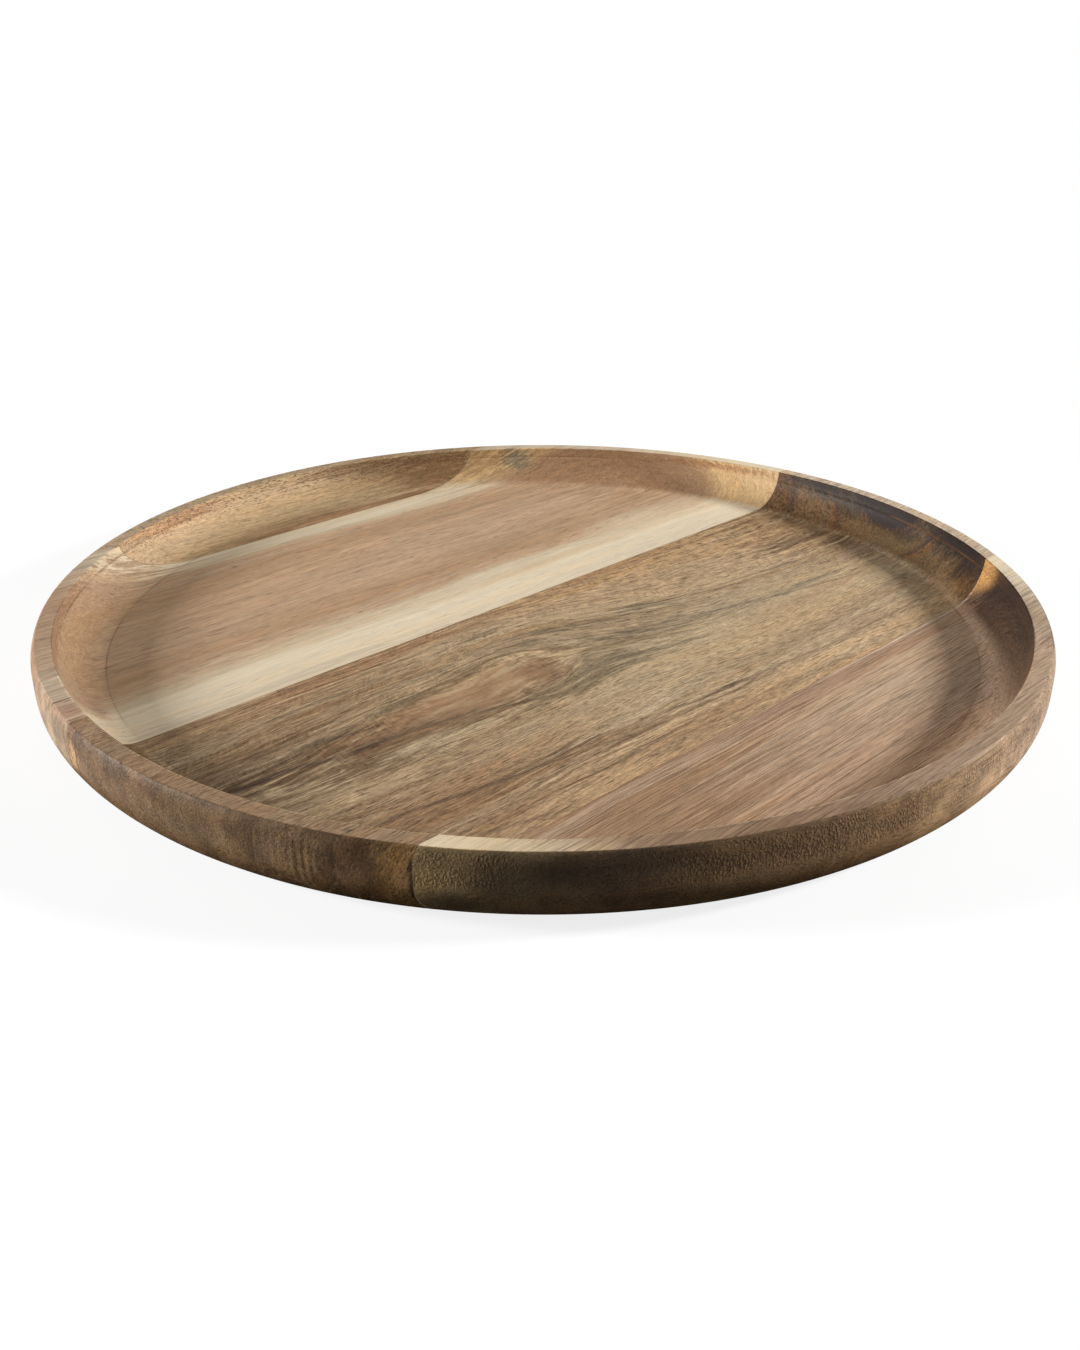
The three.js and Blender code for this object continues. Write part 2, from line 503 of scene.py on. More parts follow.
def turned_marks_group():
    """Tool lines, the rim's land, the outside, and pits where the grain is torn."""
    nodes, entry = new_group("turned_marks", ["Position"])
    position = entry["Position"]
    along, across, up = nodes.split(position)
    radius = nodes.length(nodes.join(along, across, 0.0))
    from_land_inner = nodes.minus(radius, LAND_INNER_RADIUS / MM)
    from_land_outer = nodes.minus(radius, LAND_OUTER_RADIUS / MM)
    from_line = nodes.minus(up, (LINE_HEIGHT - TOOL_LINE_WIDTH / 2) / MM)
    inside = nodes.between(from_land_inner, INSIDE_SPAN)
    beyond_land = nodes.between(from_land_outer, BEYOND_LAND_SPAN)
    land = nodes.times(
        nodes.between(from_land_inner, LAND_INNER_SPAN),
        nodes.between(from_land_outer, LAND_OUTER_SPAN),
        nodes.between(nodes.minus(up, HEIGHT / MM), LAND_HEIGHT_SPAN),
    )
    foot = nodes.times(nodes.between(up, FOOT_HEIGHT_SPAN), nodes.between(radius, FOOT_RADIUS_SPAN))
    line = worn_lines(nodes, position, radius, from_line, inside)
    torn = torn_grain(nodes, position, from_line, inside, beyond_land)
    pits = nodes.times(torn, pebbled(nodes, position))
    return finish_group(nodes, Line=line, Land=land, Outside=nodes.most(beyond_land, foot), Pits=pits)


LOG = log_group()
FIBRE = fibre_group()
PORES = pore_group()
PATCH = patch_group()
TURNED_MARKS = turned_marks_group()


# Figure of the centre stave: grain that parts round a knot's eye and then sinks

EYE = (-46, -31.5)  # centre, along and across
EYE_TAIL = 66  # reach of the pointed end, towards -X
EYE_HEAD = 22  # reach of the round end, towards +X
EYE_HALF = 16  # half its width
EYE_SPREAD = 0.6  # how far the grain inside it is spread apart
SINKS = [(-25, 60, 20), (30, 150, 12)]  # from, to, and by how much the grain sinks
SINK_HALF = 50


def eye_flow(nodes, position):
    """Bends the grain round the eye, and gives back the bent position."""
    along, across, up = nodes.split(position)
    ahead = nodes.minus(along, EYE[0])
    aside = nodes.minus(across, EYE[1])
    head = nodes.math("DIVIDE", nodes.most(ahead, 0.0), EYE_HEAD)
    tail = nodes.math("DIVIDE", nodes.math("MINIMUM", ahead, 0.0), -EYE_TAIL)
    width = nodes.math("DIVIDE", aside, EYE_HALF)
    away = nodes.plus(nodes.times(head, head), nodes.times(width, width), tail)
    spread = nodes.math("DIVIDE", EYE_SPREAD, nodes.most(away, 1.0))
    bent = nodes.plus(nodes.times(aside, nodes.minus(1.0, spread)), EYE[1])
    share = nodes.math("DIVIDE", aside, SINK_HALF)
    swell = nodes.math("EXPONENT", nodes.times(share, share, -1.0))
    for start, end, depth in SINKS:
        sunk = nodes.between(along, (start, end), 0.0, depth)
        bent = nodes.plus(bent, nodes.times(sunk, swell))
    return nodes.join(along, bent, up)


# Painting a stave

SEED_STEP = (211, 97, 53)  # gives each wood noise of its own
TEAR = 2.4  # ragged marks are torn this much more than smooth ones
STREAK_GAPS = ((0.38, 0.64), 1.0, 0.2)  # streaks fade where a strand is strong

END_SPAN = (0.03, 0.35)  # end grain comes in as a face turns along the grain
END_CHANGE_SPAN = (20, -20)  # right end to left end

OUTER_FRAY = 3  # how ragged the outer wall's tones are
OUTER_SHARE = 0.85
CLOUDS = ((9, 9, 9), 3, STEEP_SPAN)
RIPPLES = ((1.1, 1.1, 18), 1, STEEP_SPAN)
RIPPLE_SHARE = 0.6  # of the clouds' contrast
RIPPLE_PATCHES = ((13, 13, 30), 2, (0.45, 0.62))
# Painted shade low and high on the outer wall: the heights where it comes in, and its colour
FOOT_SHADE_SPAN = (15, 7)  # heights
BROW_SHADE_SPAN = (16, 23)
PAINTED_SHADE_TONE = "2E2218"
LAND_SHARE = 0.8

PALE_GRAIN = ((0.36, 0.58), 1.0, 0.4)  # grain is fainter on pale wood
STILL_GRAIN = (FULL_SPAN, 1.0, 0.35)  # and in a still patch
STRAND_SHARE = 0.8  # of the coarse contrast
FLECK_SHARE = 0.45  # of the fine contrast
CHATTER_TURNS = math.tau / 2.3  # marks of a chattering tool, 2.3 mm apart
CHATTER_DEPTH = 0.5
WARM = (1.05, 0.985, 0.91, 1)
COOL = (0.96, 1.0, 1.05, 1)

PORE_TONE = "4A3424"
LIP_PORE_SPAN = (15, 25)  # heights
LINE_TONE = "6E4A30"
LINE_SHARE = 0.5
PIT_SHARE = 0.45

FIBRE_HEIGHT = 0.5  # where a pore's depth is 1
PIT_DEPTH = 3
BUMP_STRENGTH = 0.6
BUMP_DISTANCE = 0.1 * MM
ROUGHNESS = ((0.2, 0.8), 0.45, 0.6)
PORE_ROUGHNESS = 0.2
INNER_SHINE = 0.14
OUTER_SHINE = ((11, 17), 0.0, 0.08)  # dry at the foot and oiled above


@dataclass
class Wood:
    """One stave's wood, in millimetres. Stops are places with their colour codes."""

    name: str
    seed: int
    pith: tuple  # a point on the log's pith
    wander: float  # how far the rings drift
    shift: float  # how far bands of years push their tones
    fine: float  # contrast of fibres and flecks
    coarse: float  # contrast of streaks and strands
    pores: float  # share of pores that are open
    pore_length: float
    rings: dict  # stops from the pith outwards
    left_end: dict  # the same on end grain, at the left
    right_end: dict  # and at the right
    outer: dict  # stops round the outer wall, in degrees from the front
    land: dict  # stops along the rim's land
    pore_width: float = 0.65
    pore_depth: float = 0.65  # how dark a pore is
    lip_pores: float = 0.0  # share added towards the lip
    tint: float = 1.0  # strength of warm and cool bands
    torn: float = 1.0  # strength of torn grain
    end_fray: float = 6.0  # how ragged the rings are on end grain
    curl: float = 0.0  # contrast of curly grain
    run: float = 1.0  # how much shorter fibres are
    tight: float = 1.0  # how much closer they lie
    mottle: float = 0.3  # contrast of clouds on the outer wall
    foot: float = 0.3  # painted shade low on the outer wall
    brow: float = 0.0  # painted shade high on the outer wall
    still: tuple = ()  # centre and reach of a still patch
    chatter: tuple = ()  # centre and reach of tool chatter
    flow: object = None  # function that bends the grain
    streaks: tuple = ()  # broken marks along the bent grain
    strands: tuple = ()
    marks: tuple = ()  # ragged marks
    smooth_marks: tuple = ()
    rim_marks: tuple = ()


class WoodPainter(Nodes):
    """The nodes of one stave's material. Each step lays its own effect over the colour so far."""

    def __init__(self, wood):
        self.material, self.shader = new_material(wood.name)
        super().__init__(self.material.node_tree)
        self.wood = wood
        coordinates = self.add("ShaderNodeTexCoord").outputs
        self.normal = coordinates["Normal"]
        self.position = self.scaled(coordinates["Object"], 1 / MM)
        self.along, self.across, self.up = self.split(self.position)
        self.grain = wood.flow(self, self.position) if wood.flow else self.position
        self.seed = tuple(step * wood.seed for step in SEED_STEP)
        self.log = self.use(
            LOG, Position=self.grain, Pith=wood.pith, Wander=wood.wander, Seed=self.seed
        )["Log"]
        packed = self.vector("MULTIPLY", self.log, (wood.run, wood.tight, wood.tight))
        self.fibre = self.use(FIBRE, Log=packed, Seed=self.seed)
        self.turned = self.use(TURNED_MARKS, Position=self.position)
        self.fray = self.minus(self.plus(self.fibre["Streak"], self.fibre["Strand"]), 1.0)
        self.tear = self.times(self.fray, TEAR)

    def paint(self):
        colour = self.long_grain()
        colour = self.end_grain(colour)
        colour = self.outer_wall(colour)
        colour = self.figure(colour)
        strength = self.grain_strength(colour)
        colour = self.fibres(colour, strength)
        colour, pore = self.pores(colour, strength)
        colour, pits = self.tool_marks(colour)
        self.surface(colour, pore, pits)
        return self.material

    def tones_along(self, value, stops):
        """Tones that follow a value from stop to stop."""
        first, last = min(stops), max(stops)
        node = self.add("ShaderNodeValToRGB", {"Fac": self.between(value, (first, last), smooth=False)})
        elements = node.color_ramp.elements
        while len(elements) < len(stops):
            elements.new(1.0)
        for element, (place, code) in zip(elements, stops.items()):
            element.position = (place - first) / (last - first)
            element.color = tone(code)
        return node.outputs["Color"]

    def soft_patch(self, position, centre, reach, tear):
        return self.use(PATCH, Position=position, Centre=centre, Reach=reach, Tear=tear)["Mask"]

    def laid_on(self, colour, position, tear, marks, broken=1.0):
        """Lays soft patches over a colour. A mark is a colour code, a strength, a centre and a reach."""
        for code, strength, centre, reach in marks:
            mask = self.soft_patch(position, centre, reach, tear)
            colour = self.mix(self.times(mask, broken, strength), colour, tone(code))
        return colour

    def drawn_on(self, colour, strands):
        """Draws slim strands. A strand is a colour code, a strength, its two ends and half its width."""
        for code, strength, start, end, half in strands:
            lean = (end[1] - start[1]) / (end[0] - start[0])
            level = self.minus(self.across, self.times(self.along, lean))
            centre = ((start[0] + end[0]) / 2, start[1] - start[0] * lean, 0.0)
            reach = ((end[0] - start[0]) / 2, half, 1.0)
            mask = self.soft_patch(self.join(self.along, level, 0.0), centre, reach, self.fray)
            colour = self.mix(self.times(mask, strength), colour, tone(code))
        return colour

    def long_grain(self):
        """Tones from the pith outwards, pushed about by bands of years, and broken streaks."""
        band = self.swing(self.fibre["Band"], self.wood.shift)
        colour = self.tones_along(self.plus(self.split(self.log)[1], band), self.wood.rings)
        broken = self.between(self.fibre["Strand"], *STREAK_GAPS)
        return self.laid_on(colour, self.grain, self.tear, self.wood.streaks, broken)

    def end_grain(self, colour):
        """Rings on the walls that are cut across the grain, at the left and right."""
        wood = self.wood
        _, out, rise = self.split(self.vector("SUBTRACT", self.position, wood.pith))
        radius = self.plus(self.length(self.join(0.0, out, rise)), self.times(self.fray, wood.end_fray))
        right = self.tones_along(radius, wood.right_end)
        left = self.tones_along(radius, wood.left_end)
        ends = self.mix(self.between(self.along, END_CHANGE_SPAN), right, left)
        facing = self.math("ABSOLUTE", self.split(self.normal)[0])
        return self.mix(self.between(facing, END_SPAN), colour, ends)

    def outer_wall(self, colour):
        """Tones round the outer wall, with clouds and upright ripples, and painted shade low and high."""
        wood = self.wood
        outside = self.turned["Outside"]
        around = self.math("ARCTAN2", self.along, self.times(self.across, -1.0))
        around = self.plus(self.math("DEGREES", around), self.times(self.fray, OUTER_FRAY))
        tones = self.tones_along(around, wood.outer)
        colour = self.mix(self.times(outside, OUTER_SHARE), colour, tones)
        cloud = self.patchy(self.position, *CLOUDS, -wood.mottle, wood.mottle)
        ripple = self.patchy(self.position, *RIPPLES, -wood.mottle, wood.mottle)
        share = self.patchy(self.position, *RIPPLE_PATCHES, 0.0, RIPPLE_SHARE)
        mottled = self.plus(cloud, self.times(ripple, share))
        colour = self.dimmed(colour, self.plus(1.0, self.times(mottled, outside)))
        # painted shade at the foot and under the rim
        low = self.between(self.up, FOOT_SHADE_SPAN, 0.0, wood.foot)
        high = self.between(self.up, BROW_SHADE_SPAN, 0.0, wood.brow)
        return self.mix(self.times(outside, self.plus(low, high)), colour, tone(PAINTED_SHADE_TONE))

    def figure(self, colour):
        """The marks and strands that are this stave's own, and the tones of the rim's land."""
        wood = self.wood
        colour = self.laid_on(colour, self.position, self.tear, wood.marks)
        colour = self.laid_on(colour, self.position, self.fray, wood.smooth_marks)
        colour = self.drawn_on(colour, wood.strands)
        land = self.tones_along(self.along, wood.land)
        colour = self.mix(self.times(self.turned["Land"], LAND_SHARE), colour, land)
        return self.laid_on(colour, self.position, self.fray, wood.rim_marks)

    def grain_strength(self, colour):
        """How strongly fibres and pores show: less on pale wood and in a still patch."""
        level = self.add("ShaderNodeRGBToBW", {0: colour}).outputs[0]
        strength = self.between(level, *PALE_GRAIN)
        if self.wood.still:
            patch = self.soft_patch(self.position, *self.wood.still, tear=0.0)
            strength = self.times(strength, self.between(patch, *STILL_GRAIN))
        return strength

    def fibres(self, colour, strength):
        """Lighter and darker fibres of every size, tool chatter, and warm and cool bands."""
        wood = self.wood
        depths = {
            "Streak": wood.coarse, "Strand": STRAND_SHARE * wood.coarse,
            "Fibre": wood.fine, "Fleck": FLECK_SHARE * wood.fine,
        }
        swings = [self.swing(self.fibre[name], depth) for name, depth in depths.items()]
        grit = self.plus(*swings, self.times(self.fibre["Curl"], wood.curl))
        grit = self.times(grit, strength)
        if wood.chatter:
            bars = self.math("SINE", self.times(self.plus(self.across, self.fray), CHATTER_TURNS))
            patch = self.soft_patch(self.position, *wood.chatter, tear=self.fray)
            grit = self.plus(grit, self.times(bars, patch, CHATTER_DEPTH))
        colour = self.dimmed(colour, self.plus(grit, 1.0))
        cool = self.between(self.fibre["Band"], STEEPEST_SPAN)
        return self.mix(wood.tint, colour, self.mix(cool, WARM, COOL), "MULTIPLY")

    def pores(self, colour, strength):
        wood = self.wood
        share = self.between(self.up, LIP_PORE_SPAN, wood.pores, wood.pores + wood.lip_pores)
        pore = self.use(
            PORES, Position=self.grain, Share=share, Length=wood.pore_length, Width=wood.pore_width,
            Seed=self.seed,
        )["Pore"]
        colour = self.mix(self.times(pore, strength, wood.pore_depth), colour, tone(PORE_TONE))
        return colour, pore

    def tool_marks(self, colour):
        """Tool lines, and pits of torn grain."""
        colour = self.mix(self.times(self.turned["Line"], LINE_SHARE), colour, tone(LINE_TONE))
        pits = self.times(self.turned["Pits"], self.wood.torn)
        colour = self.mix(self.times(pits, PIT_SHARE), colour, tone(PORE_TONE))
        return colour, pits

    def surface(self, colour, pore, pits):
        """Oiled wood with sunk pores and pits, duller outside and dry at the foot."""
        sunk = self.plus(pore, self.times(pits, PIT_DEPTH))
        height = self.minus(self.times(self.fibre["Fibre"], FIBRE_HEIGHT), sunk)
        bump = {"Height": height, "Strength": BUMP_STRENGTH, "Distance": BUMP_DISTANCE}
        rough = self.between(self.fibre["Streak"], *ROUGHNESS)
        outer_shine = self.between(self.up, *OUTER_SHINE)
        looks = {
            "Base Color": colour,
            "Roughness": self.plus(rough, self.times(pore, PORE_ROUGHNESS)),
            "Specular IOR Level": self.between(self.turned["Outside"], FULL_SPAN, INNER_SHINE, outer_shine),
            "Normal": self.add("ShaderNodeBump", bump).outputs[0],
        }
        self.feed(self.shader, looks)


GLUE_TONES = ("7A5A3C", "4E3825")
GLUE_STAINS = ((14, 1, 3), 3, STEEPEST_SPAN)
GLUE_ROUGHNESS = 0.45


def glue():
    """Cured glue, unevenly stained."""
    material, shader = new_material("cured_glue")
    nodes = Nodes(material.node_tree)
    position = nodes.scaled(nodes.add("ShaderNodeTexCoord").outputs["Object"], 1 / MM)
    pale, dark = (tone(code) for code in GLUE_TONES)
    colour = nodes.mix(nodes.patchy(position, *GLUE_STAINS), pale, dark)
    nodes.feed(shader, {"Base Color": colour, "Roughness": GLUE_ROUGHNESS})
    return material


# Marks of each stave: colour, strength, and centre and reach along, across and up

FLOOR_MARK_HEIGHT = 11
FLOOR_MARK_REACH = 12
STREAK_REACH = 20


def on_floor(marks, reach=FLOOR_MARK_REACH):
    """Adds a height and its reach to marks given along and across."""
    return tuple(
        (code, strength, (*centre, FLOOR_MARK_HEIGHT), (*size, reach))
        for code, strength, centre, size in marks
    )


BACK_EDGE_MARKS = (
    ("70553A", 0.45, (86, 172, 20), (30, 22, 11)),  # dark end towards the right, partly the wood and partly painted shade
    ("6E5236", 0.6, (55, 184, 25), (42, 9, 4)),
    ("A2704C", 0.45, (-64, 180, 24.5), (52, 16, 3.4)),  # copper band under the lip, a painted coppery sheen
    ("9A6E4C", 0.6, (20, 165, 12), (70, 4.5, 6)),
)

SAPWOOD_MARKS = (
    ("A78C70", 0.9, (-112, 158, 12), (36, 9, 14)),  # heartwood that runs into the back seam
    ("6E6A5C", 0.75, (122, 146, 23), (8, 8, 7)),  # blue-grey stain under the lip
    ("A79C8A", 0.28, (-110, 25, 11), (55, 4, 10)),  # greyish fibres by the middle seam
    ("8C6A4C", 0.3, (146, 100, 11), (24, 36, 12)),  # darker towards the right wall, where the right wall's shadow falls: painted shade
    ("DCCBAE", 0.5, (118, 57, 11), (40, 8, 12)),  # sapwood that widens towards the right
    ("8A6C4C", 0.5, (108, 158, 20), (20, 12, 9)),
    ("8E6442", 0.6, (182, 54, 25), (26, 46, 1.6)),  # reddish line under the right lip
    ("8A6A52", 0.6, (-166, 95, 26), (40, 75, 4)),  # darker band under the left lip
)

# Dark streaks of the centre stave, along the bent grain
CENTRE_STREAKS = (
    ("6B5B46", 0.8, (-110, -26), (75, 3)),
    ("5C4A3C", 0.5, (-163, -23), (30, 8)),
    ("463931", 0.8, (-158, -30), (34, 3)),
    ("4A3E34", 0.9, (-118, -34), (56, 3.2)),
    ("5C4A3C", 0.6, (-138, -19), (18, 4)),
    ("6E604B", 0.7, (-22, -43), (44, 11)),
    ("6E604B", 0.6, (20, -31), (36, 9)),
    ("6E604B", 0.7, (80, -29), (60, 3)),
    ("6C604C", 0.85, (42, -6), (16, 4.5)),
    ("6C5C49", 0.8, (95, -7), (50, 2.4)),
    ("75654F", 0.7, (5, -12), (34, 5)),
    ("453A36", 0.9, (125, -5), (9, 3.5)),
    ("5C5042", 0.7, (145, 10), (18, 4)),
    ("5A4C40", 0.6, (168, 0), (14, 7)),
    ("5B4B3C", 0.95, (-110, -83), (52, 2.4)),
    ("6A5440", 0.75, (-20, -92), (50, 1.6)),
    ("785E48", 0.55, (70, -95), (60, 1.8)),
    ("60503F", 0.8, (-60, -101), (36, 1.6)),
    ("75604A", 0.5, (30, -106), (50, 3)),
)

# Single dark strands of the centre stave, from end to end
CENTRE_STRANDS = (
    ("453833", 0.62, (-173, -31), (-151, -31), 2.2),
    ("4A3D35", 0.58, (-156, -29.5), (-128, -36), 1.6),
    ("463A33", 0.58, (-128, -36.5), (-103, -38), 1.6),
    ("53463A", 0.51, (-142, -20), (-106, -27.5), 1.4),
    ("53463A", 0.47, (-106, -37), (-74, -44.5), 1.3),
    ("574A3C", 0.43, (-76, -44), (-46, -54), 1.2),
    ("5A4636", 0.47, (-145, -56.5), (-130, -59.5), 0.8),
    ("5A4A3A", 0.39, (-122, -46.5), (-112, -49), 0.8),
    ("4A3C32", 0.55, (-152, -78), (-134, -79), 1.6),
    ("45382F", 0.55, (-136, -79), (-116, -83), 1.2),
    ("4A3C32", 0.51, (-120, -82.5), (-90, -87), 1.2),
    ("54443A", 0.51, (-96, -85.5), (-66, -91), 0.9),
    ("5A493C", 0.43, (-68, -90), (-38, -96.5), 0.9),
    ("54403A", 0.39, (-128, -105), (-100, -112), 1.5),
    ("6A5C4A", 0.47, (40, -17), (70, -27), 0.9),
    ("6A5A49", 0.47, (66, -26.5), (134, -36), 0.9),
    ("5F5544", 0.39, (-5, -30), (50, -43), 1.2),
    ("66584A", 0.39, (18, -42), (44, -49), 0.8),
    ("66584A", 0.47, (46, -43), (84, -52), 1),
    ("6A5A49", 0.47, (80, -52), (136, -63.5), 0.9),
    ("5C4A3A", 0.51, (-36, -89), (-10, -93.5), 0.8),
    ("604E3E", 0.47, (-14, -93), (26, -95.5), 0.8),
    ("66543F", 0.43, (22, -95), (66, -99.5), 0.8),
    ("604E3C", 0.43, (60, -99), (142, -99), 0.8),
    ("6A543E", 0.39, (-45, -80.5), (-31, -84.5), 0.5),
)

# Patches of the centre stave, on its floor and its walls
CENTRE_FLOOR_MARKS = (
    ("7A5F45", 0.5, (-155, -12), (74, 46)),  # the darker left part, partly the wood and partly painted shade from the left wall
    ("6F563F", 0.85, (-104, -41), (48, 12)),
    ("7E6046", 0.6, (-124, -88), (44, 24)),
    ("866A4D", 0.4, (-100, 5), (34, 12)),
    ("846248", 0.65, (-80, 17), (75, 5)),  # red-brown edge by the middle seam
    ("8C6A4C", 0.45, (80, 17), (90, 4.5)),
    ("B58D5E", 0.6, (52, 11), (52, 2)),
    ("A08062", 0.7, (-70, -32), (44, 12)),  # the eye and its core
    ("967A5C", 0.6, (-46, -23), (24, 5)),
    ("77674F", 0.7, (-31, 5), (11, 2.2)),
    ("7C6A52", 0.6, (-88, -20), (20, 4)),  # olive grain over the eye and beyond it
    ("7C6A52", 0.65, (-56, -16), (22, 4)),
    ("7C6A52", 0.6, (-30, -15), (15, 4.5)),
    ("7C6A52", 0.5, (-19, -26), (6, 8)),
    ("A57F5C", 0.5, (-105, -77), (50, 6)),
    ("7A654C", 0.5, (-44, -51), (30, 5)),  # darker grain before the eye
    ("8A7054", 0.5, (-90, -61), (40, 6)),
    ("BFA888", 0.5, (-27, -80), (28, 6)),
    ("7C6048", 0.5, (-60, -92), (38, 6)),
    ("866A52", 0.5, (-25, -108), (42, 6)),
    ("C8AE8C", 0.5, (66, -104), (36, 6)),
    ("967A5E", 0.4, (98, -96), (24, 6)),
    ("B4A084", 0.4, (95, -43), (60, 13)),
    ("BAA280", 0.35, (30, -74), (66, 11)),  # pale band
    ("84725A", 0.55, (-4, -41), (26, 9)),
    ("6E5238", 0.55, (168, -12), (34, 42)),  # darker towards the right wall, where its shadow falls: painted shade
)
CENTRE_WALL_MARKS = (
    ("C9A77E", 0.6, (-197, 17, 18), (6, 4, 5)),  # pale patch and crack beside the middle seam
    ("2A211C", 0.9, (-197, 14, 18), (5, 0.5, 7)),
    ("241A13", 0.85, (-164, -114.3, 17), (8, 0.7, 9)),  # open seam beside the front stave
)
CENTRE_SMOOTH_MARKS = (
    ("977B5E", 0.4, (-122, -70, 11), (44, 20, 12)),  # calmer grain before the eye
    ("A3896B", 0.35, (-72, -70, 11), (36, 14, 12)),
    ("86684F", 0.75, (-36, -36, 11), (10.5, 10.5, 12)),
    ("74573F", 0.4, (-26.5, -37, 11), (2.2, 8, 12)),
    ("1D1817", 0.97, (167, -97, 26.5), (34, 40, 9.5)),  # dark end grain beside the front seam
    ("221B19", 0.9, (189, -9, 27), (14, 28, 6.5)),
    ("241C19", 0.65, (184, -42, 23), (20, 34, 7)),
    ("9C7E5C", 0.45, (148, -98, 12), (14, 14, 2.6)),
    ("2A211D", 0.65, (156, -107, 21), (14, 12, 6)),
    ("2C231E", 0.55, (178, -62, 18.5), (12, 11, 4)),  # dark rings across the right wall
    ("2C231E", 0.45, (187, -24, 19), (9, 10, 4)),
)

FRONT_EDGE_FLOOR_MARKS = (
    ("8A6747", 0.6, (-82, -135), (62, 30)),  # darker towards the left, partly the wood and partly painted shade from the left wall
    ("C4AC90", 0.4, (52, -138), (30, 18)),
    ("6E5644", 0.2, (70, -150), (30, 16)),
    ("946F57", 0.5, (30, -119), (150, 5)),  # redder along the front seam, with a pale edge
    ("D8C4B0", 0.7, (98, -115), (60, 0.7)),
)
FRONT_EDGE_SMOOTH_MARKS = (
    ("261D1A", 0.9, (142, -138, 27), (42, 36, 11)),  # dark end grain under the right lip
    ("30261F", 0.85, (110, -156, 25), (36, 24, 9)),
    ("C4935A", 0.65, (150, -118, 25), (11, 7.5, 9)),  # golden sapwood beside the front seam
    ("33281F", 0.6, (-156, -124, 9.5), (11, 11, 4.5)),  # dark grain that climbs the outer wall
    ("33281F", 0.5, (-148, -134, 16), (9, 9, 5)),
    ("33281F", 0.45, (-134, -148, 21), (14, 14, 5)),
    ("33281F", 0.45, (-118, -161, 25), (14, 14, 4)),
    ("A68F60", 0.5, (-160, -120, 18), (9, 9, 4)),  # golden torn grain beside the front seam
)

# A bruise on the rim beside the middle seam
RIM_MARKS = (
    ("A07C66", 0.7, (-194, 29, 27.5), (8, 8, 2)),
    ("6A4C3C", 0.7, (-193, 37.5, 27.5), (6, 0.8, 1)),
    ("6A4C3C", 0.6, (-195, 22, 27.5), (5, 0.7, 1)),
)

# Woods of the four staves

